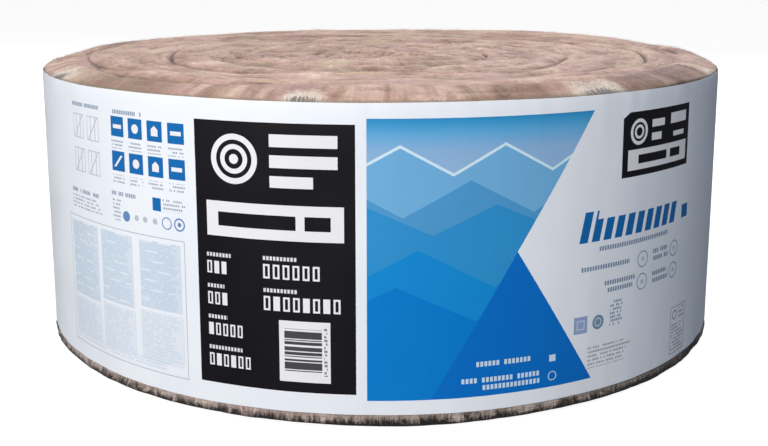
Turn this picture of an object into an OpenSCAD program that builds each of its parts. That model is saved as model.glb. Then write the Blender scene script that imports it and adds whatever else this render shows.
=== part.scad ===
// A roll of unfaced glass-wool batt, standing on its end, in a printed film wrap.
// Millimetres. +Z is up along the roll's axis, and the origin is the middle of the end it stands on.

/* [Roll] */
// Outer diameter of the wound wool
roll_d = 965; // [600:5:1200]
// Width of the batt, which is the height of the roll on its end
roll_h = 381; // [280:1:620]
// Length of batt wound into the roll
batt_length = 6706; // [4500:1:12000]

/* [Ends] */
// How far the rounded rim of the top end reaches in from the side
top_rim_in = 47; // [20:1:70]
// How far the rounded rim of the top end drops
top_rim_drop = 14; // [6:1:25]
// How far the rounded rim of the bottom end reaches in from the side
bottom_rim_in = 18; // [8:1:40]
// How far the rounded rim of the bottom end rises
bottom_rim_rise = 7; // [3:1:12]

/* [Creases between turns] */
// Width of a crease where it opens on an end
crease_w = 16; // [6:1:26]
// Depth of a crease
crease_depth = 9; // [4:1:20]
// Radius from the middle to the start of the innermost turn's crease
eye_r = 45; // [30:1:80]
// Least thickness of the outermost turn, where its crease stops
tail_t = 22; // [10:1:40]

/* [Film wrap] */
// Thickness of the film
film_t = 0.3; // [0.2:0.05:1]
// Wool left bare above the film
bare_top = 11; // [0:1:60]
// Wool left bare below the film
bare_bottom = 18; // [0:1:60]
// Length of film that laps over its own start
lap_length = 120; // [40:5:300]
// Direction of the lap's free edge, counted from +X towards +Y
lap_angle = 76; // [0:1:359]

/* [Hidden] */
$fn = 96;

roll_r = roll_d / 2;
// The wound batt fills the roll's whole end, so its squeezed thickness is the end's area over its length.
turn_pitch = PI * roll_r * roll_r / batt_length;
film_h = roll_h - bare_top - bare_bottom;
film_r = roll_r + film_t;
// The lap to the nearest tenth of a degree, so that both lengths of film end on the same plane.
lap_sweep = round(lap_length / film_r * 1800 / PI) / 10;
rim_steps = 8;
overcut = 1;

// Quarter of an ellipse, from straight out along x to straight up along y.
function rim_curve(in, rise) =
    [for (i = [0 : rim_steps])
        let (a = 90 * i / rim_steps)
        [in * cos(a), rise * sin(a)]];

// Half-section of the roll: the axis, then the bottom rim going out, then the top rim coming in.
function roll_section() =
    let (
        bottom = rim_curve(bottom_rim_in, bottom_rim_rise),
        top = rim_curve(top_rim_in, top_rim_drop)
    )
    concat(
        [[0, 0]],
        [for (i = [rim_steps : -1 : 0])
            [roll_r - bottom_rim_in + bottom[i][0], bottom_rim_rise - bottom[i][1]]],
        [for (i = [0 : rim_steps])
            [roll_r - top_rim_in + top[i][0], roll_h - top_rim_drop + top[i][1]]],
        [[0, roll_h]]
    );

// Half a turn of crease as a groove with sloping walls, sunk into the face at z = 0.
module half_crease(radius) {
    rotate_extrude(angle = 180)
        polygon([
            [radius - crease_w / 2, overcut],
            [radius - crease_w / 2, 0],
            [radius, -crease_depth],
            [radius + crease_w / 2, 0],
            [radius + crease_w / 2, overcut]
        ]);
}

// The line between one turn and the next, as half circles about two centres, each a half pitch wider
// than the one before. It starts at the eye and stops where the outermost turn gets thin.
module crease_spiral() {
    arcs = floor((roll_r - tail_t - crease_w / 2 - eye_r) / (turn_pitch / 2));
    for (k = [0 : arcs - 1]) {
        toward_front = k % 2 == 0;
        translate([(toward_front ? -1 : 1) * turn_pitch / 4, 0, 0])
            rotate([0, 0, toward_front ? 180 : 0])
                half_crease(eye_r + turn_pitch / 4 + k * turn_pitch / 2);
    }
}

// The batt wound up tight: one turned solid whose turns show as creases on both ends.
module wool_roll() {
    color("rosybrown")
        difference() {
            rotate_extrude()
                polygon(roll_section());
            translate([0, 0, roll_h])
                crease_spiral();
            mirror([0, 0, 1])
                crease_spiral();
        }
}

// Film round part of the side, from one angle through a sweep, so many layers thick.
module film_arc(start, sweep, layers) {
    rotate_extrude(start = start, angle = sweep)
        translate([roll_r, bare_bottom])
            square([layers * film_t, film_h]);
}

// The printed film round the side, with its outer end lapped over its start.
module film_wrap() {
    color("white")
        union() {
            film_arc(lap_angle, lap_sweep, 2);
            film_arc(lap_angle + lap_sweep, 360 - lap_sweep, 1);
        }
}

wool_roll();
film_wrap();
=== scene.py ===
import math

import bpy
import numpy as np
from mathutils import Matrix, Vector


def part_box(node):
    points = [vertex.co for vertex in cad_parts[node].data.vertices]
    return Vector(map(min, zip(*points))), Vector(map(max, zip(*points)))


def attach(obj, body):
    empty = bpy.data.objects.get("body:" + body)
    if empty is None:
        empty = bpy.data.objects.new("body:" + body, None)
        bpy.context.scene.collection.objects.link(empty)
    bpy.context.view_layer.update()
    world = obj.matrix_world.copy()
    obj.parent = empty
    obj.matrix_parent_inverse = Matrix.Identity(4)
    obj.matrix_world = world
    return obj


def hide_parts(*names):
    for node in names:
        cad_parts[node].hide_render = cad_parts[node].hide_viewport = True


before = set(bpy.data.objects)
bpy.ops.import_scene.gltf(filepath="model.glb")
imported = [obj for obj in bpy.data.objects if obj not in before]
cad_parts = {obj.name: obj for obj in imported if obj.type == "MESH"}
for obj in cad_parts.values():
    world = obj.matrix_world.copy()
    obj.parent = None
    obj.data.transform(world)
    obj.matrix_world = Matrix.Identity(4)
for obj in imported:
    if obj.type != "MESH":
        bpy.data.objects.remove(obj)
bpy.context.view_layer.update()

# the roll's own measures come from the frame, in metres
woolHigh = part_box("wool_roll")[1]
filmLow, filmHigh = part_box("film_wrap")
rollRadius = woolHigh.x
rollHeight = woolHigh.z
filmThickness = filmHigh.x - rollRadius
mm = 0.001


class Wire:  # one output socket that can stand in a sum
    def __init__(self, tree, socket):
        self.tree = tree
        self.socket = socket

    def maths(self, operation, *inputs):
        node = self.tree.nodes.new("ShaderNodeMath")
        node.operation = operation
        for slot, value in zip(node.inputs, inputs):
            plug(self.tree, slot, value)
        return Wire(self.tree, node.outputs[0])

    def __add__(self, other):
        return self.maths("ADD", self, other)

    def __radd__(self, other):
        return self.maths("ADD", other, self)

    def __sub__(self, other):
        return self.maths("SUBTRACT", self, other)

    def __rsub__(self, other):
        return self.maths("SUBTRACT", other, self)

    def __mul__(self, other):
        return self.maths("MULTIPLY", self, other)

    def __rmul__(self, other):
        return self.maths("MULTIPLY", other, self)

    def __truediv__(self, other):
        return self.maths("DIVIDE", self, other)

    def __rtruediv__(self, other):
        return self.maths("DIVIDE", other, self)

    def __pow__(self, other):
        return self.maths("POWER", self, other)

    def __rpow__(self, other):
        return self.maths("POWER", other, self)

    def __abs__(self):
        return self.maths("ABSOLUTE", self)

    def __lt__(self, other):
        return self.maths("LESS_THAN", self, other)

    def __gt__(self, other):
        return self.maths("GREATER_THAN", self, other)

    def fraction(self):
        return self.maths("FRACT", self)

    def floor(self):
        return self.maths("FLOOR", self)

    def within(self, middle, reach):  # 1 where the value is no further than reach from middle
        return self.maths("COMPARE", self, middle, reach)

    def either(self, other):
        return self.maths("MAXIMUM", self, other)


def plug(tree, slot, value):
    if isinstance(value, Wire):
        tree.links.new(value.socket, slot)
    elif isinstance(value, bpy.types.NodeSocket):
        tree.links.new(value, slot)
    elif slot.type == "RGBA" and len(value) == 3:
        slot.default_value = (*value, 1.0)
    else:
        slot.default_value = value


class Finish:  # one material and the nodes that make it
    def __init__(self, name):
        self.material = bpy.data.materials.new(name)
        self.material.use_nodes = True
        self.tree = self.material.node_tree
        self.tree.nodes.clear()
        self.output = self.tree.nodes.new("ShaderNodeOutputMaterial")

    def node(self, kind, settings=None, sockets=None, out=0):
        node = self.tree.nodes.new(kind)
        for name, value in (settings or {}).items():
            if name == "stops":
                fillRamp(node.color_ramp, value)
            else:
                setattr(node, name, value)
        for name, value in (sockets or {}).items():
            plug(self.tree, node.inputs[name], value)
        return Wire(self.tree, node.outputs[out])

    def noise(self, vector, scale, detail=2.0, roughness=0.5, distortion=0.0):
        return self.node(
            "ShaderNodeTexNoise", {"noise_dimensions": "3D"},
            {"Vector": vector, "Scale": scale, "Detail": detail, "Roughness": roughness,
             "Distortion": distortion})

    def randomOf(self, vector):  # one fixed random number for each whole place
        return self.node("ShaderNodeTexWhiteNoise", {"noise_dimensions": "3D"}, {"Vector": vector})

    def position(self):  # where a point lies on its piece, in metres
        return self.node("ShaderNodeTexCoord", out=3)

    def join(self, x, y, z=0.0):
        return self.node("ShaderNodeCombineXYZ", None, {"X": x, "Y": y, "Z": z})

    def split(self, vector):
        outputs = self.node("ShaderNodeSeparateXYZ", None, {"Vector": vector}).socket.node.outputs
        return [Wire(self.tree, output) for output in outputs]

    def ramp(self, factor, stops):
        return self.node("ShaderNodeValToRGB", {"stops": stops}, {"Fac": factor})

    def spread(self, value, low, high, toLow=0.0, toHigh=1.0):  # smooth step between two values
        return self.node(
            "ShaderNodeMapRange", {"interpolation_type": "SMOOTHSTEP"},
            {"Value": value, "From Min": low, "From Max": high, "To Min": toLow, "To Max": toHigh})

    def paint(self, under, over, mask, blend="MIX"):
        node = self.tree.nodes.new("ShaderNodeMix")
        node.data_type = "RGBA"
        node.blend_type = blend
        plug(self.tree, node.inputs["Factor"], mask)
        plug(self.tree, node.inputs[6], under)
        plug(self.tree, node.inputs[7], over)
        return Wire(self.tree, node.outputs[2])

    def vector(self, operation, *inputs, out=0):
        node = self.tree.nodes.new("ShaderNodeVectorMath")
        node.operation = operation
        for slot, value in zip(node.inputs, inputs):
            plug(self.tree, slot, value)
        return Wire(self.tree, node.outputs[out])

    def scaled(self, vector, factors):
        return self.vector("MULTIPLY", vector, factors)

    def bump(self, height, distance, strength=1.0, under=None):
        sockets = {"Height": height, "Distance": distance, "Strength": strength}
        if under is not None:
            sockets["Normal"] = under
        return self.node("ShaderNodeBump", None, sockets)

    def surface(self, sockets):
        shader = self.node("ShaderNodeBsdfPrincipled", None, sockets)
        self.tree.links.new(shader.socket, self.output.inputs["Surface"])
        return self.material


def fillRamp(colourRamp, stops):
    while len(colourRamp.elements) > 1:
        colourRamp.elements.remove(colourRamp.elements[-1])
    for number, (place, colour) in enumerate(stops):
        element = colourRamp.elements[0] if number == 0 else colourRamp.elements.new(place)
        element.position = place
        element.color = (*colour, 1.0)


def smoothStep(share):
    share = np.clip(share, 0.0, 1.0)
    return share * share * (3.0 - 2.0 * share)


def ringNoise(turn, across, cellsRound, cellsAcross, seed):
    # smooth random value from 0 to 1 that closes on itself after a whole turn
    grid = np.random.default_rng(seed).random((cellsRound, cellsAcross + 3))
    u = (turn % 1.0) * cellsRound
    v = np.clip(across, 0.0, 1.0) * cellsAcross
    i = np.floor(u).astype(int)
    j = np.floor(v).astype(int)
    su = smoothStep(u - i)
    sv = smoothStep(v - j)
    i0 = i % cellsRound
    i1 = (i + 1) % cellsRound
    near = grid[i0, j] * (1 - su) + grid[i1, j] * su
    far = grid[i0, j + 1] * (1 - su) + grid[i1, j + 1] * su
    return near * (1 - sv) + far * sv


def foldLines(turn, across, cellsRound, cellsAcross, seed, sharpness):
    # thin lines where a smooth random field crosses its middle value
    field = ringNoise(turn, across, cellsRound, cellsAcross, seed)
    return (1.0 - np.abs(2.0 * field - 1.0)) ** sharpness


def addPiece(name, points, faces, materials, slots=None, smooth=True):
    mesh = bpy.data.meshes.new(name)
    mesh.from_pydata(points, [], faces)
    mesh.update()
    for material in materials:
        mesh.materials.append(material)
    if slots is not None:
        mesh.polygons.foreach_set("material_index", slots)
    mesh.polygons.foreach_set("use_smooth", [smooth] * len(mesh.polygons))
    piece = bpy.data.objects.new(name, mesh)
    bpy.context.scene.collection.objects.link(piece)
    return piece


def addNumbers(piece, name, values, middle):
    # one number for each point of the grid, then one for the middle of each end
    layer = piece.data.attributes.new(name, "FLOAT", "POINT")
    layer.data.foreach_set("value", np.append(values.ravel(), [middle, middle]).astype(np.float32))


wool = {
    "battLength": 6.706,          # length wound into the roll, which sets how thick a turn is
    "eyeRadius": 45 * mm,         # where the innermost crease starts
    "eyeReach": 30 * mm,          # hollow at the middle of each end
    "eyeDepth": 9 * mm,
    "bottomEyeDepth": 4 * mm,
    "topRimIn": 47 * mm,          # rounded rim of the top end
    "topRimDrop": 14 * mm,
    "bottomRimIn": 18 * mm,
    "bottomRimRise": 7 * mm,
    "creaseDepth": 6.5 * mm,
    "creaseReach": 5 * mm,        # half the width of an open crease
    "wander": 20 * mm,            # how far a crease strays from a true spiral
    "tailRadius": 415 * mm,       # the last crease fades out from here,
    "tailFade": 20 * mm,          # over this much
    "rimCrease": 437 * mm,        # broken crease where the outermost turn rolls over the rim
    "rimCreaseWander": 9 * mm,
    "rimCreaseReach": 4.5 * mm,
    "rimSpans": [(-62, -14), (12, 44), (80, 128), (168, 226), (250, 281)],    # where it runs, in degrees
    "rimSpanFade": 12.0,          # degrees that each length of it takes to open and to close
    "pillow": 1.8 * mm,           # how much a turn bulges between its creases
    "foldDepth": 3.2 * mm,
    "layerDepth": 1.8 * mm,
    "lumpHeight": 4.6 * mm,
    "settle": 1.0 * mm,           # both ends sink this far under their lumps
    "swell": 3.4 * mm,            # how far the outer turns stand above the rest,
    "swellRadius": 425 * mm,      # where they are highest,
    "swellReach": 42 * mm,        # and how far the swelling spreads
    "highSpots": [(128.0, 5.0, 34.0), (-150.0, 2.0, 30.0)],    # degrees round, extra height in mm, width
    "highSpotRadius": 430 * mm,
    "highSpotReach": 45 * mm,
    "rimLumps": 2.0 * mm,
    "footOut": 0.4 * mm,          # how far the bare foot bulges, its lumps and its clefts
    "footLumps": 2.4 * mm,
    "footClefts": 2.2 * mm,
    "sectors": 450,
    "topRings": 132,
    "bottomRings": 46,
    "topSeed": 11,
    "bottomSeed": 61,
    "underFilm": 1.4 * mm,        # the side stands this far inside the film,
    "heldIn": 1.8 * mm,           # and no lump of it comes nearer to the roll's radius than this
    # pale tufts at the film's edge: degrees round from the front, reach inward in mm, width
    "tufts": [
        (-10.0, 32, 3.2), (31.5, 38, 5.0), (-58.0, 44, 4.5),
        (66.0, 22, 2.2), (118.0, 26, 6.0), (205.0, 30, 5.0)],
    "footShade": (78.0, 44.0),    # painted shade on the foot here, the side away from the key light: degrees round, width
    # darker stretches of rim, brown patches and on the roll's right side painted shade: degrees round, reach
    # inward in mm, width, strength, below 0 for a paler one, a painted highlight on the back rim
    "rimPatchesAndShade": [
        (-41.0, 60, 11.0, 0.72), (-25.0, 40, 7.0, 0.20), (20.0, 50, 5.0, 0.62),
        (42.5, 60, 7.5, 1.0), (55.5, 62, 7.0, 1.1), (88.0, 60, 8.0, 0.6),
        (138.0, 64, 11.0, 0.7), (248.0, 66, 12.0, 0.8), (180.0, 62, 24.0, -0.9)],
}
turnPitch = math.pi * rollRadius ** 2 / wool["battLength"]


def degreesFrom(turn, place):  # how far round a point is from a place in degrees, rightward from the front
    return (turn * 360.0 - (90.0 - place) + 180.0) % 360.0 - 180.0


def endRelief(turn, radius, seed):
    # height of an end of the roll over its flat, how deep in a crease or fold each point is, and a tone for
    # painted light and shade that is lighter where its layer lies high; turn runs from 0 to 1 clockwise from
    # +X, the way that the batt winds outward
    across = radius / rollRadius
    warped = radius + wool["wander"] * (ringNoise(turn, across, 6, 5, seed) - 0.5)
    warped = warped + 0.35 * wool["wander"] * (ringNoise(turn, across, 17, 9, seed + 1) - 0.5)
    phase = (warped - wool["eyeRadius"]) / turnPitch - turn
    share = phase - np.floor(phase)
    gap = np.minimum(share, 1.0 - share) * turnPitch
    inside = smoothStep((warped - 0.7 * wool["eyeRadius"]) / (0.5 * wool["eyeRadius"]))
    tail = 1.0 - smoothStep((warped - wool["tailRadius"]) / wool["tailFade"])
    openness = 0.30 + 0.95 * ringNoise(turn, across, 19, 7, seed + 2)
    pinch = 0.45 + 0.8 * ringNoise(turn, across, 31, 7, seed + 3)
    crease = np.exp(-(gap / (wool["creaseReach"] * pinch)) ** 2) * openness * inside * tail
    pillow = (4.0 * share * (1.0 - share)) ** 0.5 * inside * tail + (1.0 - inside * tail)

    # folds pressed into the turns as they were wound, most of them near the inner side of a turn
    shown = smoothStep((ringNoise(turn, across, 13, 11, seed + 4) - 0.42) / 0.2)
    folds = foldLines(turn, across, 9, 26, seed + 5, 9.0) * shown
    shown = smoothStep((ringNoise(turn, across, 23, 15, seed + 6) - 0.45) / 0.2)
    folds = np.maximum(folds, 0.75 * foldLines(turn, across, 15, 44, seed + 7, 7.0) * shown)
    layers = foldLines(turn, across, 20, 40, seed + 8, 2.2)
    layers = 0.6 * layers + 0.4 * foldLines(turn, across, 46, 66, seed + 9, 1.6)
    lumps = ringNoise(turn, across, 17, 15, seed + 10) - 0.5
    lumps = lumps + 0.8 * (ringNoise(turn, across, 27, 31, seed + 11) - 0.5)

    stray = ringNoise(turn, 0 * turn, 9, 1, seed + 13) - 0.5
    rimLine = wool["rimCrease"] + wool["rimCreaseWander"] * stray
    rimShown = np.zeros_like(turn)
    for start, end in wool["rimSpans"]:
        past = (90.0 - turn * 360.0 - start) % 360.0
        opening = smoothStep(past / wool["rimSpanFade"])
        closing = smoothStep((end - start - past) / wool["rimSpanFade"])
        rimShown = np.maximum(rimShown, opening * closing)
    rimGap = (radius - rimLine) / wool["rimCreaseReach"]
    rimFold = np.exp(-np.where(rimGap < 0, rimGap * 0.6, rimGap * 1.3) ** 2) * rimShown
    crease = np.maximum(crease, rimFold)
    height = -wool["creaseDepth"] * crease - wool["pillow"] * (1.0 - pillow)
    height = height - wool["foldDepth"] * folds - wool["layerDepth"] * layers
    height = height + wool["lumpHeight"] * lumps
    swell = wool["swell"] * np.exp(-((radius - wool["swellRadius"]) / wool["swellReach"]) ** 2)
    inward = (radius - wool["highSpotRadius"]) / wool["highSpotReach"]
    for place, extra, width in wool["highSpots"]:
        away = degreesFrom(turn, place) / width
        swell = swell + extra * mm * np.exp(-away ** 2 - inward ** 2)
    height = height + swell
    centre = np.exp(-(radius / wool["eyeReach"]) ** 2)
    height = height - wool["eyeDepth"] * centre * (0.4 + 0.6 * ringNoise(turn, across, 5, 40, seed + 12))
    # painted light and shade: lighter on lumps, darker in layers and folds
    lay = np.clip(0.5 + 0.75 * lumps - 0.22 * layers - 0.25 * folds, 0.0, 1.0)
    # the second value marks the painted shade in creases, folds and the eye's hollow
    return height, np.clip(crease + 0.30 * folds + 0.3 * centre, 0.0, 1.0), lay


def woolProfile():
    # stations down the half-section from the top's middle to the bottom's middle:
    # radius, height, and how much of each end's relief the station takes
    flatTop = rollRadius - wool["topRimIn"]
    flatBottom = rollRadius - wool["bottomRimIn"]
    rows = [(flatTop * (step + 0.4) / wool["topRings"], rollHeight, 1.0, 0.0)
            for step in range(wool["topRings"])]
    rimSteps = 16
    for step in range(rimSteps + 1):
        a = math.radians(90 * step / rimSteps)
        fade = math.cos(a) ** 0.8 if step < rimSteps else 0.0
        rows.append((flatTop + wool["topRimIn"] * math.sin(a),
                     rollHeight - wool["topRimDrop"] * (1 - math.cos(a)), fade, 0.0))
    topOfSide = rollHeight - wool["topRimDrop"]
    footTop = filmLow.z + 4 * mm
    for share in (0.04, 0.3, 0.6, 0.9):
        rows.append((rollRadius, topOfSide + (footTop - topOfSide) * share, 0.0, 0.0))
    footSteps = 9
    for step in range(footSteps):
        rows.append((rollRadius, footTop + (wool["bottomRimRise"] - footTop) * step / footSteps, 0.0, 0.0))
    for step in range(9):
        a = math.radians(90 * step / 8)
        rows.append((flatBottom + wool["bottomRimIn"] * math.cos(a),
                     wool["bottomRimRise"] * (1 - math.sin(a)), 0.0, math.sin(a)))
    for step in range(1, wool["bottomRings"]):
        rows.append((flatBottom * (1 - step / wool["bottomRings"]), 0.0, 0.0, 1.0))
    return np.array(rows)


def makeWool(material):
    rows = woolProfile()
    sectors = wool["sectors"]
    turn = np.arange(sectors)[None, :] / sectors + np.zeros((len(rows), 1))
    radius = rows[:, 0:1] + np.zeros((1, sectors))
    height = rows[:, 1:2] + np.zeros((1, sectors))
    topShare = rows[:, 2:3]
    bottomShare = rows[:, 3:4]
    sideShare = 1.0 - np.clip(topShare + bottomShare, 0.0, 1.0)
    topHeight, topCrease, topToneAndShade = endRelief(turn, radius, wool["topSeed"])
    bottomHeight, bottomCrease, bottomToneAndShade = endRelief(turn, radius, wool["bottomSeed"])

    # the top's lumps stand a little over the roll's height; the bottom only hollows, so it rests flat
    height = height + topShare * (topHeight - wool["settle"])
    height = height - bottomShare * np.minimum(0.8 * (bottomHeight - wool["settle"]), 0.0)

    # blotchy hand-pressed wool where the rim turns over, and fibres standing up the foot
    up = height / rollHeight
    rimLumps = ringNoise(turn, up, 70, 60, 91) - 0.5 + 0.7 * (ringNoise(turn, up, 170, 90, 92) - 0.5)
    rimBand = np.exp(-((height - rollHeight + 6 * mm) / (9 * mm)) ** 2) * sideShare
    foot = smoothStep((filmLow.z - 1 * mm - height) / (3 * mm)) * sideShare
    hidden = smoothStep((height - filmLow.z + 3 * mm) / (4 * mm))
    hidden = hidden * smoothStep((filmHigh.z + 1 * mm - height) / (6 * mm))
    radius = radius - wool["underFilm"] * hidden * (sideShare > 0.2)
    hold = (height < filmHigh.z + 1.2 * mm) & (height > filmLow.z + 1 * mm)
    radius = radius + wool["rimLumps"] * np.minimum(rimLumps, 0.15) * rimBand
    radius = radius + (wool["footOut"] + wool["footLumps"] * rimLumps) * foot
    radius = radius - wool["footClefts"] * foldLines(turn, up, 110, 40, 93, 5.0) * foot
    radius = np.where(hold, np.minimum(radius, rollRadius - wool["heldIn"]), radius)

    angle = -2.0 * math.pi * turn
    points = np.stack([radius * np.cos(angle), radius * np.sin(angle), height], axis=2)
    points = points.reshape(-1, 3)
    topMiddle = len(points)
    ends = np.array([[0, 0, rollHeight - wool["eyeDepth"]], [0, 0, wool["bottomEyeDepth"]]])
    points = np.vstack([points, ends])

    here = np.arange(len(rows) - 1)[:, None] * sectors + np.arange(sectors)[None, :]
    there = np.arange(len(rows) - 1)[:, None] * sectors + (np.arange(sectors)[None, :] + 1) % sectors
    quads = np.stack([here, there, there + sectors, here + sectors], axis=2).reshape(-1, 4).tolist()
    lastRow = (len(rows) - 1) * sectors
    for sector in range(sectors):
        after = (sector + 1) % sectors
        quads.append([topMiddle, after, sector])
        quads.append([topMiddle + 1, lastRow + sector, lastRow + after])
    piece = addPiece("wound_wool", points.tolist(), quads, [material])

    crease = topShare * topCrease + bottomShare * bottomCrease
    tuft = np.zeros_like(turn)
    soot = np.zeros_like(turn)
    inside = np.hypot(rollRadius - radius, np.maximum(height - filmHigh.z, 0.0))
    for place, inward, width in wool["tufts"]:
        away = degreesFrom(turn, place)
        tuft = tuft + np.exp(-(away / width) ** 4 - (inside / (inward * mm)) ** 2)
        soot = soot + np.exp(-(away / (0.75 * width)) ** 2 - (inside / (0.45 * inward * mm)) ** 2)
    # painted shade on the foot's side away from the key light
    place, width = wool["footShade"]
    footShade = np.exp(-(degreesFrom(turn, place) / width) ** 4)
    # brown patches, painted shade on the roll's right side, and a painted highlight on the back rim
    patchAndShade = np.zeros_like(turn)
    for place, inward, width, strength in wool["rimPatchesAndShade"]:
        away = degreesFrom(turn, place)
        patchAndShade = patchAndShade + strength * np.exp(-(away / width) ** 4 - (inside / (inward * mm)) ** 4)
    upperHalf = height > 0.5 * rollHeight
    # painted light and shade of the layers on both ends, a middle tone on the side
    lay = topShare * topToneAndShade + bottomShare * bottomToneAndShade + 0.5 * sideShare
    # painted shade in creases, folds and the eye's hollow
    addNumbers(piece, "crease", crease, 0.6)
    addNumbers(piece, "lay", lay, 0.3)
    addNumbers(piece, "tuft", tuft * upperHalf, 0.0)
    addNumbers(piece, "soot", soot * upperHalf, 0.0)
    # above: patches with painted shade and light on the rim; below: painted shade on the foot
    addNumbers(piece, "patchAndShade", np.where(upperHalf, patchAndShade, footShade), 0.0)
    return piece


woolTones = {
    "streaksAndShade": [                  # painted shade on the undersides of the layers up to painted highlight on their raised edges
        (0.24, (0.200, 0.116, 0.086)),
        (0.38, (0.380, 0.236, 0.184)),
        (0.49, (0.532, 0.345, 0.282)),
        (0.60, (0.662, 0.458, 0.384)),
        (0.75, (0.862, 0.670, 0.575)),
    ],
    "cream": (0.640, 0.530, 0.360),
    "mauve": (0.560, 0.345, 0.345),
    # painted shade in creases, folds and the eye's hollow
    "crease": (0.105, 0.062, 0.048),
    # darkens brown patches, and paints shade on the right side of the rim and the foot
    "patchAndShade": (0.540, 0.475, 0.465),
    "pale": (0.800, 0.720, 0.640),
    "soot": (0.070, 0.078, 0.095),
    # painted shadow along the film's top edge
    "hem": (0.200, 0.180, 0.130),
    # the foot's tones, partly its own and partly painted shade under the film
    "foot": [
        (0.30, (0.130, 0.100, 0.085)),
        (0.46, (0.290, 0.238, 0.198)),
        (0.64, (0.610, 0.480, 0.440)),
    ],
    "footPink": (0.430, 0.290, 0.290),
    # painted shade on the foot's right side, with random darker patches
    "footPatchAndShade": (0.400, 0.390, 0.390),
    # painted shadow along the floor
    "footFloorShadow": (0.010, 0.008, 0.007),
}


def woolFinish():
    finish = Finish("glass wool")
    noise = finish.noise
    spread = finish.spread
    paint = finish.paint
    place = finish.position()
    x, y, z = finish.split(place)
    level = finish.join(x, y)
    radius = finish.vector("LENGTH", level, out=1)
    heading = finish.vector("NORMALIZE", level)

    # coordinates that run round with the turns: long round the roll, short across it and down it
    drift = noise(place, 4.0, 2.0, 0.5) * 1.2
    core = spread(radius, 0.0, 0.11) * 3.2              # the turns die away at the roll's middle
    longWay = finish.scaled(heading, finish.join(core, core))
    turns = finish.vector("ADD", longWay, finish.join(0.0, 0.0, radius * 15.0 + z * 40.0 + drift))
    streak = noise(turns, 1.9, 4.0, 0.60, 0.12)
    fineStreak = noise(finish.scaled(turns, (5.0, 5.0, 7.0)), 2.0, 3.0, 0.6)
    hue = noise(finish.scaled(turns, (0.75, 0.75, 1.5)), 1.5, 2.0, 0.5)
    patches = noise(place, 22.0, 3.0, 0.55, 0.6)
    clumps = noise(finish.scaled(place, (1.0, 1.0, 0.6)), 78.0, 3.0, 0.65, 1.2)
    fluff = noise(place, 260.0, 3.0, 0.7, 0.8)
    speck = noise(place, 620.0, 2.0, 0.6)

    # the rim and the foot show the ends of the fibres, as upright patches
    around = finish.scaled(heading, (12.0, 12.0, 0.0))
    upright = noise(finish.vector("ADD", around, finish.join(0.0, 0.0, z * 12.0)), 1.6, 3.0, 0.6, 0.4)
    needles = finish.scaled(heading, (230.0, 230.0, 0.0))
    needles = finish.vector("ADD", needles, finish.join(0.0, 0.0, radius * 60.0 + z * 60.0))
    spikes = noise(needles, 1.0, 2.0, 0.7)
    rimStart = rollRadius - wool["topRimIn"]
    rim = spread(radius + (patches - 0.5) * (12 * mm), rimStart - 7.5 * mm, rimStart + 4.5 * mm)
    rim = rim * spread(z, rollHeight - 41 * mm, rollHeight - 21 * mm)

    crease, relief, tuft, soot, patchAndShade = (
        finish.node("ShaderNodeAttribute", {"attribute_name": name}, out=2)
        for name in ("crease", "lay", "tuft", "soot", "patchAndShade"))

    # the streaks' own tones, with painted light and shade from how high each layer lies
    lay = streak * 0.74 + relief * 0.28 + fineStreak * 0.46 - 0.24
    band = upright * 1.05 + patches * 0.45 + fineStreak * 0.14 - 0.34
    lay = lay + (band - lay) * rim
    colour = finish.ramp(lay, woolTones["streaksAndShade"])
    tint = hue + (patches - 0.5) * 0.10
    colour = paint(colour, woolTones["cream"], spread(tint, 0.51, 0.68) * 0.42)
    colour = paint(colour, woolTones["mauve"], spread(tint, 0.48, 0.32) * 0.50)
    # painted shade in the creases, folds and the eye's hollow
    deep = spread(crease + (fineStreak - 0.5) * 0.4, 0.25, 0.85)
    colour = paint(colour, woolTones["crease"], deep * 0.85)
    # brown patches, with painted shade on the right side of the rim and of the foot
    patchedAndShaded = spread(patchAndShade + (upright - 0.5) * 1.1 + (patches - 0.5) * 0.5, 0.18, 0.80)
    colour = paint(colour, woolTones["patchAndShade"], patchedAndShaded, "MULTIPLY")
    # pale patches on the rim, and a painted highlight on the back rim where the stretch is below 0
    colour = paint(colour, woolTones["pale"], spread((upright - 0.5) * 0.6 - patchAndShade, 0.25, 0.85) * 0.45)
    colour = paint(colour, woolTones["pale"], spread(tuft + (fluff - 0.5) * 0.8, 0.30, 0.80) * 0.75)
    colour = paint(colour, woolTones["soot"], spread(soot * (spikes * 2.4 - 0.55), 0.30, 0.48) * 0.8)
    grain = finish.ramp(fluff, [(0.3, (0.74, 0.71, 0.69)), (0.7, (1.16, 1.16, 1.15))])
    colour = paint(colour, grain, 0.6, "MULTIPLY")

    # painted shadow along the film's top edge, and the foot, whose darker tones are partly its own and partly
    # painted shade, darkest and ragged at the floor with painted shadow
    hem = spread(z + (spikes - 0.5) * (6 * mm), filmHigh.z + 3.5 * mm, filmHigh.z + 0.5 * mm)
    hem = hem * spread(z, rollHeight - 81 * mm, rollHeight - 41 * mm)
    colour = paint(colour, woolTones["hem"], hem * spread(upright, 0.35, 0.6, 0.25, 0.75))
    footTone = finish.ramp(upright * 0.45 + clumps * 0.55 + spikes * 0.22 - 0.11, woolTones["foot"])
    footTone = paint(footTone, woolTones["footPink"], spread(hue + (clumps - 0.5) * 0.5, 0.50, 0.30) * 0.5)
    # painted shade on the foot's right side, with random darker patches
    footTone = paint(footTone, woolTones["footPatchAndShade"], patchedAndShaded, "MULTIPLY")
    # ragged painted shadow along the floor
    ragged = z + (spikes - 0.5) * (12 * mm) + (clumps - 0.5) * (20 * mm)
    ragged = spread(ragged, filmLow.z - 1.5 * mm, wool["bottomRimRise"])
    footTone = paint(footTone, woolTones["footFloorShadow"], ragged)
    colour = paint(colour, footTone, spread(z, filmLow.z + 4 * mm, filmLow.z - 1 * mm))

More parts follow.
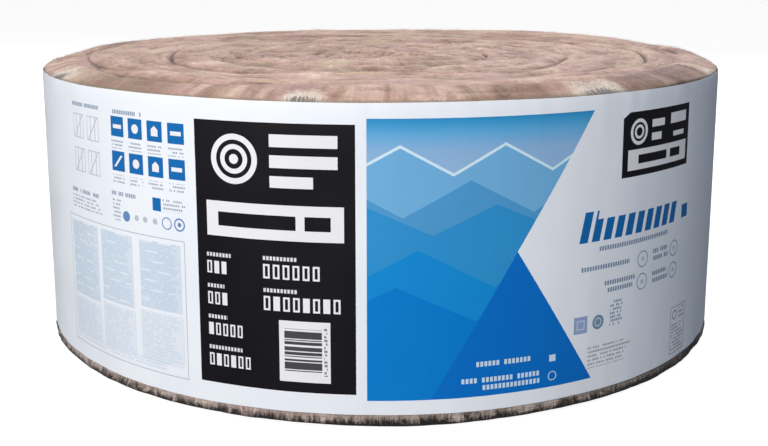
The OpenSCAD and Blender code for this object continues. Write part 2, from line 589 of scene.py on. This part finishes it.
    coarse = finish.bump(fineStreak * 0.8 + fluff * 0.5, 3.0 * mm, 0.9)
    return finish.surface({
        "Base Color": colour,
        "Roughness": spread(fluff, 0.3, 0.7, 0.86, 1.0),
        "Normal": finish.bump(speck, 0.7 * mm, 0.7, coarse),
        "Specular IOR Level": 0.18,
        "Sheen Weight": 0.12,
        "Sheen Roughness": 0.6,
    })


woundWool = makeWool(woolFinish())
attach(woundWool, "root")
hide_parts("wool_roll")
print("wool:", len(woundWool.data.polygons), "faces")


fibres = {
    "count": 2600,
    "shortest": 7 * mm,
    "longest": 26 * mm,
    "radius": 0.11 * mm,
    "rimShare": 0.35,             # this many of them lie along the rim,
    "rimReach": 40 * mm,          # within this band
    "lean": 0.55,                 # spread of the angle away from the way the turns run
    "bend": 0.5,
    "lift": 2.2 * mm,             # how far the middle of a fibre stands off the wool
    "stations": 5,
    "seed": 5,
}


def topPoint(turn, radius):
    flatTop = rollRadius - wool["topRimIn"]
    share = np.clip((radius - flatTop) / wool["topRimIn"], 0.0, 0.985)
    drop = wool["topRimDrop"] * (1 - np.sqrt(1 - share ** 2))
    relief = endRelief(turn, radius, wool["topSeed"])[0] - wool["settle"]
    return rollHeight - drop + relief * (1 - share ** 2) ** 0.4


def makeFibres(material):
    chance = np.random.default_rng(fibres["seed"])
    count = fibres["count"]
    outward = chance.random(count)
    radius = rollRadius * np.sqrt(outward) * 0.985
    alongRim = chance.random(count) < fibres["rimShare"]
    radius = np.where(alongRim, rollRadius - chance.random(count) * fibres["rimReach"] - 3 * mm, radius)
    turn = chance.random(count)
    length = fibres["shortest"] + (fibres["longest"] - fibres["shortest"]) * chance.random(count) ** 2
    lean = chance.normal(0.0, fibres["lean"], count)
    bend = chance.normal(0.0, fibres["bend"], count)
    lift = fibres["lift"] * (0.3 + chance.random(count))

    stations = fibres["stations"]
    rings = []
    for station in range(stations):
        share = station / (stations - 1)
        along = (share - 0.5) * length
        sideways = np.sin(lean) * along + bend * length * 0.25 * (4 * share * (1 - share))
        forward = np.cos(lean) * along
        r = np.clip(radius + sideways, 4 * mm, rollRadius - 1.5 * mm)
        t = turn + forward / (2 * math.pi * np.maximum(r, 20 * mm))
        z = topPoint(t, r) + lift * 4 * share * (1 - share) + 0.2 * mm
        a = -2 * math.pi * t
        rings.append(np.stack([r * np.cos(a), r * np.sin(a), z], axis=1))
    spine = np.stack(rings, axis=1)                       # count x stations x 3
    along = np.gradient(spine, axis=1)
    along = along / np.linalg.norm(along, axis=2, keepdims=True)
    upward = np.array([0.0, 0.0, 1.0])
    side = np.cross(along, upward)
    side = side / np.maximum(np.linalg.norm(side, axis=2, keepdims=True), 1e-6)
    over = np.cross(side, along)
    points = []
    for corner in range(3):
        a = 2 * math.pi * corner / 3
        points.append(spine + fibres["radius"] * (math.cos(a) * side + math.sin(a) * over))
    points = np.stack(points, axis=2).reshape(-1, 3)      # fibre, station, corner
    faces = []
    for fibre in range(count):
        first = fibre * stations * 3
        for station in range(stations - 1):
            low = first + station * 3
            for corner in range(3):
                after = (corner + 1) % 3
                faces.append([low + corner, low + after, low + 3 + after, low + 3 + corner])
        faces.append([first + 2, first + 1, first])
        last = first + (stations - 1) * 3
        faces.append([last, last + 1, last + 2])
    return addPiece("loose_fibres", points.tolist(), faces, [material])


def fibreFinish():
    finish = Finish("loose glass fibre")
    tone = finish.noise(finish.position(), 24.0, 2.0, 0.5)
    colour = finish.ramp(tone, [
        (0.35, (0.42, 0.31, 0.24)), (0.55, (0.66, 0.52, 0.44)), (0.75, (0.84, 0.76, 0.68))])
    return finish.surface({"Base Color": colour, "Roughness": finish.spread(tone, 0.3, 0.7, 0.5, 0.75)})


looseFibres = makeFibres(fibreFinish())
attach(looseFibres, "root")
print("fibres:", len(looseFibres.data.polygons), "faces")


film = {
    "lapLength": 120 * mm,
    "lapDegrees": 76.0,           # where the free edge is, from +X towards +Y
    "stepLength": 14 * mm,        # run over which the outer layer comes down past the inner end
    "lapLift": 0.55 * mm,         # gap between the two layers, and how much more it opens in waves
    "lapWave": 0.5 * mm,
    "underLap": 0.1 * mm,         # the inner layer's ripples rise no higher than this
    "columns": 860,
    "rows": 32,
    "hem": 0.25 * mm,             # narrow row of faces at both edges, which keeps the cut edge crisp
    "ripple": 0.55 * mm,          # upright ripples left by the tension of wrapping
    "edgeRipple": 0.8 * mm,
    "edgeWave": 0.9 * mm,         # how far the two long edges stray from straight
    "tuck": 0.8 * mm,             # how far the top edge leans in over the wool
    "noteLine": 209 * mm,         # height of the line between the notes and the fine type
}
bakeSheet = {                     # how the strip is packed into a square for baking, as shares of its side
    "lengths": 3,                 # the outside lies in this many stacked lengths,
    "lengthBase": 0.005,
    "lengthHeight": 0.305,
    "lengthStep": 0.311,
    "ribbonBase": 0.94,           # the inside in as many ribbons above them,
    "ribbonHeight": 0.016,
    "ribbonStep": 0.018,
    "edges": (0.995, 0.999),      # and the edge faces in a line at the top
    "left": 0.002,
    "width": 0.995,
}
printParts = [                    # what is printed where, in millimetres from the middle of the front
    ("fine type", -475, -217.5),
    ("black panel", -217.5, -20),
    ("blue panel", -20, 222),
    ("right side", 222, 475),
]
filmHeight = filmHigh.z - filmLow.z
filmSweep = 2 * math.pi + film["lapLength"] / (rollRadius + filmThickness)


def makeFilm(finishes):
    columns = film["columns"]
    rows = film["rows"]
    lapSweep = film["lapLength"] / (rollRadius + filmThickness)
    run = np.linspace(0.0, filmSweep, columns + 1)[:, None] + np.zeros((1, rows + 1))
    # rows lie closer together near the two edges
    share = np.linspace(0.0, 1.0, rows - 1)
    share = 0.35 * share + 0.65 * (0.5 - 0.5 * np.cos(math.pi * share))
    hemShare = film["hem"] / filmHeight
    share = np.concatenate([[0.0, hemShare], share[1:-1], [1.0 - hemShare, 1.0]])
    noteRow = rows // 2 + 1       # this line of points runs between the notes and the fine type
    share[noteRow] = (film["noteLine"] - filmLow.z) / filmHeight
    share = share[None, :] + np.zeros((columns + 1, 1))
    angle = math.radians(film["lapDegrees"]) + run
    turn = angle / (2 * math.pi)

    fromEdge = np.minimum(share, 1 - share) * filmHeight
    nearEdge = np.exp(-fromEdge / (35 * mm))
    ripples = ringNoise(turn, share, 58, 2, 21) - 0.5 + 0.6 * (ringNoise(turn, share, 131, 3, 22) - 0.5)
    puckers = ringNoise(turn, share, 210, 7, 23) - 0.5
    offset = film["ripple"] * ripples + film["edgeRipple"] * puckers * nearEdge
    offset = offset - film["tuck"] * np.exp(-(1 - share) * filmHeight / (7 * mm))
    # the lap: the outer layer starts at the free edge and comes down just past the inner end
    rise = 1.0 - smoothStep((run - lapSweep) * rollRadius / film["stepLength"])
    lapWaves = film["lapWave"] * ringNoise(turn, share, 90, 9, 24) * rise
    offset = np.where(run > filmSweep - lapSweep * 1.15, np.minimum(offset, film["underLap"]), offset)
    offset = offset + rise * (filmThickness + film["lapLift"]) + lapWaves
    wave = film["edgeWave"] * (ringNoise(turn, 0 * turn, 34, 1, 25) - 0.5)
    wave = wave * (2 * share - 1) ** 3

    outer = rollRadius + filmThickness + offset
    inner = outer - filmThickness
    up = filmLow.z + share * filmHeight + wave
    cos = np.cos(angle)
    sin = np.sin(angle)
    outside = np.stack([outer * cos, outer * sin, up], axis=2).reshape(-1, 3)
    inside = np.stack([inner * cos, inner * sin, up], axis=2).reshape(-1, 3)
    points = np.vstack([outside, inside])

    stride = rows + 1
    back = len(outside)
    names = list(finishes)
    bare = names.index("bare")
    faces = []
    slots = []
    for column in range(columns):
        place = (angle[column, 0] - 1.5 * math.pi) * rollRadius / mm
        part = "bare"
        for name, left, right in printParts:
            if left < place < right:
                part = name
        for row in range(rows):
            a = column * stride + row
            b = a + stride
            faces.append([a, b, b + 1, a + 1])
            upper = part == "fine type" and row >= noteRow
            slots.append(names.index("notes" if upper else part))
            faces.append([back + a + 1, back + b + 1, back + b, back + a])
            slots.append(bare)
    for column in range(columns):
        low = column * stride
        high = low + rows
        faces.append([low, back + low, back + low + stride, low + stride])
        faces.append([high + stride, back + high + stride, back + high, high])
        slots += [bare, bare]
    last = columns * stride
    for row in range(rows):
        faces.append([row + 1, back + row + 1, back + row, row])
        faces.append([last + row, back + last + row, back + last + row + 1, last + row + 1])
        slots += [bare, bare]
    piece = addPiece("film_skin", points.tolist(), faces, list(finishes.values()), slots)
    sides = 2 * rows * columns
    piece.data.polygons.foreach_set("use_smooth", [face < sides for face in range(len(faces))])

    # one map in metres for the print, from the middle of the front; it runs rightward as seen
    flatPlace = np.stack([(angle - 1.5 * math.pi) * rollRadius, up], axis=2).reshape(-1, 2)
    flatPlace = np.vstack([flatPlace, flatPlace])
    corners = np.zeros(len(piece.data.loops), int)
    piece.data.loops.foreach_get("vertex_index", corners)
    printMap = piece.data.uv_layers.new(name="wrapPlace")
    printMap.data.foreach_set("uv", flatPlace[corners].astype(np.float32).ravel())

    packForBaking(piece, share[0])
    printMap = piece.data.uv_layers["wrapPlace"]
    piece.data.uv_layers.active = printMap
    printMap.active_render = True
    return piece


def packForBaking(piece, share):  # takes the faces in the order in which makeFilm lists them
    columns = film["columns"]
    lengthColumns = math.ceil(columns / bakeSheet["lengths"])
    places = []
    for column in range(columns):
        length, inLength = divmod(column, lengthColumns)
        left = inLength / lengthColumns * bakeSheet["width"] + bakeSheet["left"]
        right = (inLength + 1) / lengthColumns * bakeSheet["width"] + bakeSheet["left"]
        outside = bakeSheet["lengthBase"] + length * bakeSheet["lengthStep"]
        inside = bakeSheet["ribbonBase"] + length * bakeSheet["ribbonStep"]
        for row in range(film["rows"]):
            low = outside + share[row] * bakeSheet["lengthHeight"]
            high = outside + share[row + 1] * bakeSheet["lengthHeight"]
            places += [(left, low), (right, low), (right, high), (left, high)]
            low = inside + share[row] * bakeSheet["ribbonHeight"]
            high = inside + share[row + 1] * bakeSheet["ribbonHeight"]
            places += [(left, high), (right, high), (right, low), (left, low)]
    edgeFaces = len(piece.data.polygons) - len(places) // 4
    low, high = bakeSheet["edges"]
    for edge in range(edgeFaces):
        left = edge / edgeFaces
        right = (edge + 1) / edgeFaces
        places += [(left, low), (left, high), (right, high), (right, low)]
    bakeMap = piece.data.uv_layers.new(name="OFBake")
    bakeMap.data.foreach_set("uv", np.array(places, np.float32).ravel())


inks = {
    "film": (0.862, 0.895, 0.960),
    "black": (0.0070, 0.0060, 0.0090),
    "white": (0.850, 0.845, 0.880),
    "text": (0.120, 0.200, 0.330),
    "fine": (0.470, 0.610, 0.760),
    "blue": (0.005, 0.145, 0.440),
    "grey": (0.500, 0.550, 0.620),
    "deep": (0.0010, 0.160, 0.585),
    "sky": (0.620, 0.780, 0.900),
    "note": (0.085, 0.175, 0.330),
    "violet": (0.160, 0.270, 0.560),
    "seal": (0.060, 0.200, 0.330),
    "legal": (0.170, 0.190, 0.230),
    "ridge": (0.660, 0.840, 0.950),
    "frame": (0.360, 0.440, 0.500),
}
blueSky = [
    (0.0, (0.330, 0.520, 0.760)),
    (0.55, (0.270, 0.465, 0.740)),
    (0.78, (0.125, 0.415, 0.730)),
    (0.92, (0.050, 0.330, 0.640)),
    (1.0, (0.026, 0.270, 0.570)),
]
blueBands = [                     # height, half height of the zigzag, its length, where it peaks, tone
    (305, 16, 117, 22, (0.168, 0.444, 0.746)),
    (264, 20, 150, 100, (0.080, 0.330, 0.640)),
    (240, 16, 144, 130, (0.029, 0.290, 0.642)),
    (185, 23, 174, 42, (0.006, 0.262, 0.680)),
    (145, 21, 180, 18, (0.0008, 0.210, 0.640)),
]


class Press:  # draws on a part of the wrap, in millimetres from the front's middle and up from the floor
    def __init__(self, finish):
        place = finish.node("ShaderNodeUVMap", {"uv_map": "wrapPlace"})
        metresAcross, metresUp = finish.split(place)[:2]
        self.finish = finish
        self.across = metresAcross * 1000.0
        self.up = metresUp * 1000.0
        self.colour = inks["film"]

    def block(self, left, right, bottom, top):
        wide = self.across.within((left + right) / 2, (right - left) / 2)
        return wide * self.up.within((bottom + top) / 2, (top - bottom) / 2)

    def outline(self, left, right, bottom, top, line):
        inner = self.block(left + line, right - line, bottom + line, top - line)
        return self.block(left, right, bottom, top) - inner

    def disc(self, x, y, radius):
        return ((self.across - x) ** 2 + (self.up - y) ** 2) < radius ** 2

    def ring(self, x, y, radius, line):
        gap = ((self.across - x) ** 2 + (self.up - y) ** 2) ** 0.5
        return gap.within(radius - line / 2, line / 2)

    def several(self, shape, places):  # one shape, such as a block, at more than one place
        shown = shape(*places[0])
        for place in places[1:]:
            shown = shown.either(shape(*place))
        return shown

    def writing(self, left, right, bottom, top, pitch, tall, letter, seed, gaps=0.2, hollow=0.0):
        # rows of plain dashes in place of small type; with hollow they are boxes with a line that thick
        row = (top - self.up) / pitch
        line = row.floor()
        step = (self.across - left) / letter + line * 3.7
        mark = (row.fraction() < tall / pitch) * (step.fraction() < 0.68)
        chance = self.finish.randomOf(self.finish.join(step.floor(), line, seed))
        short = self.finish.randomOf(self.finish.join(line, seed, 9.0)) * ((right - left) * 0.22)
        if hollow:
            hole = (step.fraction() * letter).within(0.34 * letter, 0.34 * letter - hollow)
            hole = hole * (row.fraction() * pitch).within(tall / 2, tall / 2 - hollow) * (chance > 0.35)
            mark = mark - hole
            short = 0.0
        return mark * (chance > gaps) * (self.across < (right - short)) * self.block(left, right, bottom, top)

    def ink(self, shade, mask):  # shade is the name of an ink, or a colour
        self.colour = self.finish.paint(self.colour, inks.get(shade, shade), mask)


def repeated(value, start, step):  # how far a value is from the middle of its own cell in a row of cells
    return ((value - start) / step).fraction() * step - step / 2


blackPanel = {                    # all places in the print are in millimetres: left, right, bottom, top
    "ground": (-212, -26, 42, 346.5),
    "rings": [(-163, 304.5, 28, 6.5), (-163, 304.5, 16.5, 5.5)],     # picture of a roll: place, radius, line
    "eye": (-163, 304.5, 5.5),
    "titleBars": [(-121, -45, 320, 334), (-121, -45, 297, 311), (-121, -72, 275, 288)],
    "label": (-198.5, -38.5, 216, 256),
    "labelBars": [(-184, -92, 228, 244), (-82, -53, 228, 244)],
    "marksFoot": 172,             # the first row of marks stands on this height
    "leftMarks": [(-166, -173), (-178, -173), (-172, -157), (-150, -148)],   # right ends of heading and marks
    "leftPitch": 36.4,
    "rightMarks": [(-84, -65), (-88, -42)],
    "rightPitch": 36.7,
    "stripeLabel": (-113, -54.5, 54, 125),
    "stripes": (-107, -64, 64, 116),
    "stripeStep": 1.2,
    "stripeMarks": (-61.5, -57.5, 62, 118),
}


def printBlackPanel(press):
    # a picture of a roll, bars for a title, a blank label, and rows of plain marks
    block = press.block
    write = press.writing
    press.ink("black", block(*blackPanel["ground"]))
    press.ink("white", press.several(press.ring, blackPanel["rings"]))
    title = press.several(block, [*blackPanel["titleBars"], blackPanel["label"]])
    press.ink("white", title.either(press.disc(*blackPanel["eye"])))
    press.ink("black", press.several(block, blackPanel["labelBars"]))
    for line, (headEnd, markEnd) in enumerate(blackPanel["leftMarks"]):
        base = blackPanel["marksFoot"] - blackPanel["leftPitch"] * line
        press.ink("white", write(-200, headEnd, base + 19.5, base + 24, 20, 4.5, 4.0, line, 0.0) * 0.9)
        press.ink("white", write(-200, markEnd, base, base + 14.5, 40, 14.5, 9.2, 5 + line, 0.0, 1.9))
    for line, (headEnd, markEnd) in enumerate(blackPanel["rightMarks"]):
        base = blackPanel["marksFoot"] - blackPanel["rightPitch"] * line
        press.ink("white", write(-130.5, headEnd, base + 21, base + 25.5, 20, 4.5, 4.0, 11 + line, 0.0) * 0.9)
        press.ink("white", write(-130.5, markEnd, base, base + 16.5, 40, 16.5, 11.4, 15 + line, 0.0, 2.2))
    press.ink("white", block(*blackPanel["stripeLabel"]))
    stripe = ((press.up - blackPanel["stripes"][2]) / blackPanel["stripeStep"]).floor()
    chance = press.finish.randomOf(press.finish.join(stripe, 4.0, 2.0))
    press.ink("black", block(*blackPanel["stripes"]) * (chance > 0.47) * 0.93)
    press.ink("black", write(*blackPanel["stripeMarks"], 4.2, 2.8, 9, 3) * 0.7)


bluePanel = {
    "left": -14,
    "middle": 194,                # half way up it
    "halfHeight": 159,
    "notch": (156, 200),          # tip of the notch in its right edge
    "notchSlope": 0.631,
    "deepSlope": 0.60,            # left edge of the deep wedge below the notch
    "skyFoot": 273,
    "skyHeight": 80,
    "ridge": (308.5, 16, 117, 22),
    "lines": [(109, 69, 21), (92, 50, 22), (112, 41, 23)],       # left, bottom and seed of its small lines
    "square": (199.5, 208, 65.5, 73.5),
    "ring": (204, 48, 5.6, 1.0),
}


def zigzag(press, base, size, length, peak):
    saw = ((press.across - peak) / length).fraction()
    return press.up < (base - size + abs(saw - 0.5) * (4 * size))


def printBlueGround(press):
    tipAcross, tipUp = bluePanel["notch"]
    reach = tipAcross + abs(press.up - tipUp) * bluePanel["notchSlope"]
    blue = (press.across > bluePanel["left"]) * (press.across < reach)
    blue = blue * press.up.within(bluePanel["middle"], bluePanel["halfHeight"])
    press.ink(press.finish.ramp((press.up - bluePanel["skyFoot"]) / bluePanel["skyHeight"], blueSky), blue)
    return blue


def printBlueDeep(press, blue):
    tipAcross, tipUp = bluePanel["notch"]
    wedge = (press.across > (tipAcross - (tipUp - press.up) * bluePanel["deepSlope"])) * (press.up < tipUp)
    press.ink("deep", blue * wedge)


def printBluePanel(press):
    # the notched panel is shaded in plain zigzag bands, darker towards the foot
    write = press.writing
    blue = printBlueGround(press)
    press.ink("ridge", blue * zigzag(press, *bluePanel["ridge"]))
    for base, size, length, peak, tone in blueBands:
        press.ink(tone, blue * zigzag(press, base, size, length, peak))
    printBlueDeep(press, blue)
    for left, bottom, seed in bluePanel["lines"]:
        press.ink("sky", write(left, 198, bottom, bottom + 7, 20, 5.8, 4.8, seed, 0.12))
    press.ink("sky", press.block(*bluePanel["square"]).either(press.ring(*bluePanel["ring"])))


notes = {
    "headings": [                 # left, right, bottom, seed
        (-434, -362, 342.5, 31), (-343, -284, 341.5, 32), (-444, -374, 234, 33), (-347, -298, 244, 34)],
    "lines": [                    # left, right, bottom, top, pitch, height, width, seed
        (-445, -370, 214, 231, 4.6, 2.2, 2.6, 35),
        (-260, -226, 236, 250, 4.6, 2.4, 2.7, 36),
        (-346, -330, 214, 240, 4.8, 2.4, 2.7, 51)],
    "squares": (-344, -222, 274, 340),
    "captions": [(-343.5, -222, 301, 311), (-343.5, -222, 260, 270)],
    "loneSquare": (-276, -263, 235, 250.5),
    "greyDots": [(-303, 222, 3.6), (-289, 222, 3.6), (-273, 222, 3.6)],
    "rings": [(-255, 222, 7.4, 1.4), (-236.5, 222.5, 7.8, 1.9)],
    "dots": [(-321, 221.5, 6.4), (-236.5, 222.5, 2.6)],
    "sketches": (-436, -366, 256, 340),
}


def printNotes(press):
    # two columns of small notes; the right one has two rows of squares with plain shapes in them
    block = press.block
    write = press.writing
    for left, right, bottom, seed in notes["headings"]:
        press.ink("text", write(left, right, bottom, bottom + 5.6, 20, 4.8, 3.2, seed, 0.1) * 0.85)
    for line in notes["lines"]:
        press.ink("text", write(*line) * 0.75)

    column = (press.across + 343.5) / 31.4
    row = (press.up - 274.5) / 41.1
    x = column.fraction() * 31.4 - 11.65
    y = row.fraction() * 41.1 - 11.85
    captions = press.several(block, notes["captions"])
    captions = captions * write(-343.5, -195, 260, 311, 4.4, 2.1, 2.5, 41) * (x < 10.5)
    press.ink("text", captions * 0.8)
    squares = x.within(0, 11.65) * y.within(0, 11.85) * block(*notes["squares"])
    press.ink("blue", squares.either(block(*notes["loneSquare"])))
    kind = column.floor() + row.floor() * 3.0
    slash = (x * 0.74 - y * 0.67).within(0.0, 1.4) * y.within(0, 7)
    spot = (x ** 2 + y ** 2) < 30
    house = (y < (6.4 - abs(x) * 0.8)) * (y > -5.6) * x.within(0, 5.2)
    bar = x.within(0, 7.6) * y.within(0, 2.4)
    shapes = slash * kind.within(0, 0.5) + spot * kind.within(1, 0.5) + house * kind.within(2, 0.5)
    shapes = shapes + bar * kind.within(3, 0.5) + spot * kind.within(4, 0.5) + house * kind.within(5, 0.5)
    shapes = shapes + bar * kind.within(6, 0.5)
    press.ink("white", shapes * squares)

    press.ink("text", press.several(press.disc, notes["greyDots"]) * 0.5)
    dots = press.several(press.disc, notes["dots"])
    press.ink("blue", press.several(press.ring, notes["rings"]).either(dots) * 0.85)

    # faint outlines of wool between two studs, four times over
    x = repeated(press.across, notes["sketches"][0], 35)
    y = repeated(press.up, notes["sketches"][2], 42)
    inner = x.within(0, 13.5) * y.within(0, 15)
    lines = inner - x.within(0, 12.3) * y.within(0, 13.8)
    lines = lines.either(x.within(-5, 0.8) * inner).either(x.within(5, 0.8) * inner)
    lines = lines.either((x * 0.8 - y * 0.6).within(0.0, 0.8) * inner)
    press.ink("grey", lines * block(*notes["sketches"]))


fineType = {
    "columns": [(-450, -384, 102), (-374, -314, 110), (-300, -237, 116)],    # left, right, foot of its tint
    "top": 198,
    "frame": (-458, -230, 38, 204, 1.1),
}


def printFineType(press):
    block = press.block
    write = press.writing
    top = fineType["top"]
    for left, right, split in fineType["columns"]:
        tint = block(left - 1, right + 1, split, top).either(block(left - 1, right + 1, 50, split - 6) * 0.5)
        press.ink("fine", tint * 0.45)
        press.ink("fine", write(left, right, split, top, 3.0, 2.3, 2.3, left, 0.12) * 0.7)
        press.ink("film", write(left, right, split, top, 11.7, 2.0, 30, right, 0.35) * 0.7)
        press.ink("fine", write(left, right, 58, split - 6, 3.4, 2.1, 2.3, right, 0.2) * 0.55)
        press.ink("fine", press.outline(left - 2, right + 2, 56, split - 4, 0.8) * 0.6)
    press.ink("fine", write(-450, -237, 43, 54, 4.0, 2.3, 2.3, 9, 0.1) * 0.6)
    press.ink("frame", press.outline(*fineType["frame"]) * 0.8)


rightSide = {
    "panel": (298, 438, 269.5, 346),          # small black panel, whose upper left corner is cut
    "cutSlope": 0.6,
    "cutHeight": 160.5,
    "rings": [(326, 322, 15.5, 4.2), (326, 322, 8.4, 3.2)],
    "bars": [(350, 376, 325, 334), (350, 370, 309, 318), (390, 429, 325, 338), (397, 424, 309, 315)],
    "label": (307.5, 431.5, 277, 301.5),
    "labelBars": [(326, 383, 284, 294.5), (391, 415, 284, 294.5)],
    "slantedPitch": 17.9,
    "square": (430, 447, 201, 218),           # plain one after the slanted bars
    "notes": [                                # left, right, bottom, top, seed
        (267, 420, 186, 193, 71), (241, 328, 164, 171, 72), (277, 330, 134, 150, 73),
        (364, 400, 158, 174, 74), (364, 400, 130, 146, 75)],
    "seals": (308, 448, 124, 180),
    "disc": (268.5, 102, 8.8),
    "discRing": (268.5, 102, 5.5, 1.6),
    "violetSquare": (232.5, 252, 92, 112.5),
    "violetLine": (236.5, 248, 96.5, 108, 1.6),
    "frame": (414, 457, 25, 87, 1.1),
    "frameRing": (425, 76, 6.4, 1.8),
}


def printRightSide(press):
    # a small black panel, a row of slanted bars, and notes with plain rings
    block = press.block
    write = press.writing
    printBlueDeep(press, printBlueGround(press))
    underCut = (press.up - press.across * rightSide["cutSlope"]) < rightSide["cutHeight"]
    press.ink("black", block(*rightSide["panel"]) * underCut)
    roll = press.several(press.ring, rightSide["rings"])
    press.ink("white", roll.either(press.several(block, [*rightSide["bars"], rightSide["label"]])))
    press.ink("black", press.several(block, rightSide["labelBars"]))

    lean = press.across - (press.up - 212) * 0.22
    tall = press.up.within(213, 13).either(press.up.within(218, 18) * (lean < 260))
    slanted = (((lean - 239) / rightSide["slantedPitch"]).fraction() < 0.68) * lean.within(328, 89.5) * tall
    press.ink("blue", slanted.either(block(*rightSide["square"])))
    for left, right, bottom, top, seed in rightSide["notes"]:
        press.ink("note", write(left, right, bottom, top, 9.0, 5.4, 4.0, seed, 0.08) * 0.85)
    x = repeated(press.across, 307.5, 70.5)
    y = repeated(press.up, 124, 28)
    gap = (x ** 2 + y ** 2) ** 0.5
    seals = gap.within(9.6, 0.65).either((gap < 3.0) * 0.5) * block(*rightSide["seals"])
    press.ink("note", seals * 0.85)
    press.ink("note", write(287, 309, 93, 124, 4.6, 2.8, 3.0, 76) * 0.85)
    disc = press.disc(*rightSide["disc"]) - press.ring(*rightSide["discRing"]) * 0.6
    press.ink("seal", disc * 0.85)
    press.ink("violet", block(*rightSide["violetSquare"]) * 0.80)
    press.ink("film", press.outline(*rightSide["violetLine"]) * 0.5)
    press.ink("legal", write(254, 325, 47, 73, 5.0, 2.2, 2.6, 77, 0.15) * 0.8)
    frameAndRing = press.outline(*rightSide["frame"]).either(press.ring(*rightSide["frameRing"]))
    press.ink("legal", frameAndRing * 0.8)
    press.ink("legal", write(417, 454, 29, 64, 4.6, 2.4, 2.7, 78) * 0.8)
    press.ink("legal", write(436, 455, 68, 84, 6.0, 2.8, 3.0, 79) * 0.8)


def filmFinish(name, draw=None):
    finish = Finish(name)
    solid = finish.position()
    cloud = finish.noise(solid, 9.0, 3.0, 0.5)
    tone = finish.ramp(cloud, [(0.3, (0.955, 0.955, 0.965)), (0.7, (1.0, 1.0, 1.0))])
    press = Press(finish)
    if draw is not None:
        draw(press)
    colour = finish.paint(press.colour, tone, 1.0, "MULTIPLY")
    creases = finish.noise(finish.scaled(solid, (1.0, 1.0, 0.12)), 34.0, 3.0, 0.55, 0.4)
    grain = finish.noise(solid, 900.0, 2.0, 0.5)
    coarse = finish.bump(creases, 0.9 * mm, 0.35)
    return finish.surface({
        "Base Color": colour,
        "Roughness": finish.spread(cloud, 0.3, 0.7, 0.38, 0.50),
        "Normal": finish.bump(grain, 0.05 * mm, 0.25, coarse),
        "Specular IOR Level": 0.20,
    })


filmSkin = makeFilm({
    "bare": filmFinish("bare white film"),
    "notes": filmFinish("film with notes", printNotes),
    "fine type": filmFinish("film with fine type", printFineType),
    "black panel": filmFinish("film with black panel", printBlackPanel),
    "blue panel": filmFinish("film with blue panel", printBluePanel),
    "right side": filmFinish("film with small marks", printRightSide),
})
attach(filmSkin, "root")
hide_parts("film_wrap")


studio = {
    "floorSize": 60.0,
    "floorGlow": 0.91,
    "fill": 0.14,                 # light from all round
    "fillColour": (0.90, 0.95, 1.0),
    "aim": 0.15,                  # height on the roll's axis that the lights point at
    "lights": [                   # name, degrees round from front, distance, height, two sides, power, colour
        ("key light", -20.0, 3.0, 1.75, 2.4, 2.0, 105.0, (1.0, 0.985, 0.965)),
        ("top light", 30.0, 0.3, 2.9, 2.4, 2.4, 15.0, (1.0, 0.985, 0.965)),
        ("left light", -95.0, 3.0, 1.2, 1.8, 1.8, 19.0, (0.94, 0.97, 1.0)),
        ("right light", 62.0, 3.4, 1.0, 1.6, 1.6, 5.5, (0.25, 0.55, 1.0)),
        ("back light", 158.0, 3.4, 2.1, 2.4, 1.6, 125.0, (0.95, 0.97, 1.0)),
    ],
}
view = {
    "distance": 1.631,            # from the roll's axis
    "height": 0.5263,
    "aside": 0.0048,
    "pitch": 10.42,               # degrees below level
    "lens": 51.25,
    "shift": -0.09,
}


def makeFloor():
    half = studio["floorSize"] / 2
    cells = 8
    points = [(half * (2 * i / cells - 1), half * (2 * j / cells - 1), 0.0)
              for j in range(cells + 1) for i in range(cells + 1)]
    stride = cells + 1
    firsts = [j * stride + i for j in range(cells) for i in range(cells)]
    faces = [(first, first + 1, first + stride + 1, first + stride) for first in firsts]
    finish = Finish("studio floor")
    tone = finish.noise(finish.position(), 3.0, 2.0, 0.5)
    colour = finish.ramp(tone, [(0.3, (0.30, 0.30, 0.30)), (0.7, (0.34, 0.34, 0.34))])
    material = finish.surface({"Base Color": colour, "Roughness": 0.8, "Specular IOR Level": 0.1,
                               "Emission Color": (1.0, 1.0, 1.0), "Emission Strength": studio["floorGlow"]})
    floor = addPiece("floor", points, faces, [material], smooth=False)
    floor.visible_diffuse = False
    floor.visible_glossy = False


def addLight(name, turn, distance, height, width, tall, power, colour):
    light = bpy.data.lights.new(name, "AREA")
    light.shape = "RECTANGLE"
    light.size = width
    light.size_y = tall
    light.energy = power
    light.color = colour
    lamp = bpy.data.objects.new(name, light)
    bpy.context.scene.collection.objects.link(lamp)
    a = math.radians(turn)
    lamp.location = (math.sin(a) * distance, -math.cos(a) * distance, height)
    lamp.rotation_euler = (Vector((0, 0, studio["aim"])) - lamp.location).to_track_quat("-Z", "Y").to_euler()
    lamp.visible_camera = False


def makeCamera():
    cameraData = bpy.data.cameras.new("camera")
    cameraData.lens = view["lens"]
    cameraData.sensor_width = 36.0
    cameraData.shift_y = view["shift"]
    cameraData.clip_end = 200.0
    camera = bpy.data.objects.new("camera", cameraData)
    bpy.context.scene.collection.objects.link(camera)
    camera.location = (view["aside"], -view["distance"], view["height"])
    camera.rotation_euler = (math.radians(90.0 - view["pitch"]), 0.0, 0.0)
    bpy.context.scene.camera = camera


makeFloor()
for light in studio["lights"]:
    addLight(*light)
makeCamera()

world = bpy.data.worlds.new("studio")
bpy.context.scene.world = world
world.use_nodes = True
backdrop = world.node_tree.nodes["Background"]
backdrop.inputs["Color"].default_value = (*studio["fillColour"], 1.0)
seen = Wire(world.node_tree, world.node_tree.nodes.new("ShaderNodeLightPath").outputs["Is Camera Ray"])
plug(world.node_tree, backdrop.inputs["Strength"], seen + studio["fill"])     # plain white behind the roll
bpy.context.scene.view_settings.view_transform = "Standard"
print("studio: floor, five lights and the camera")
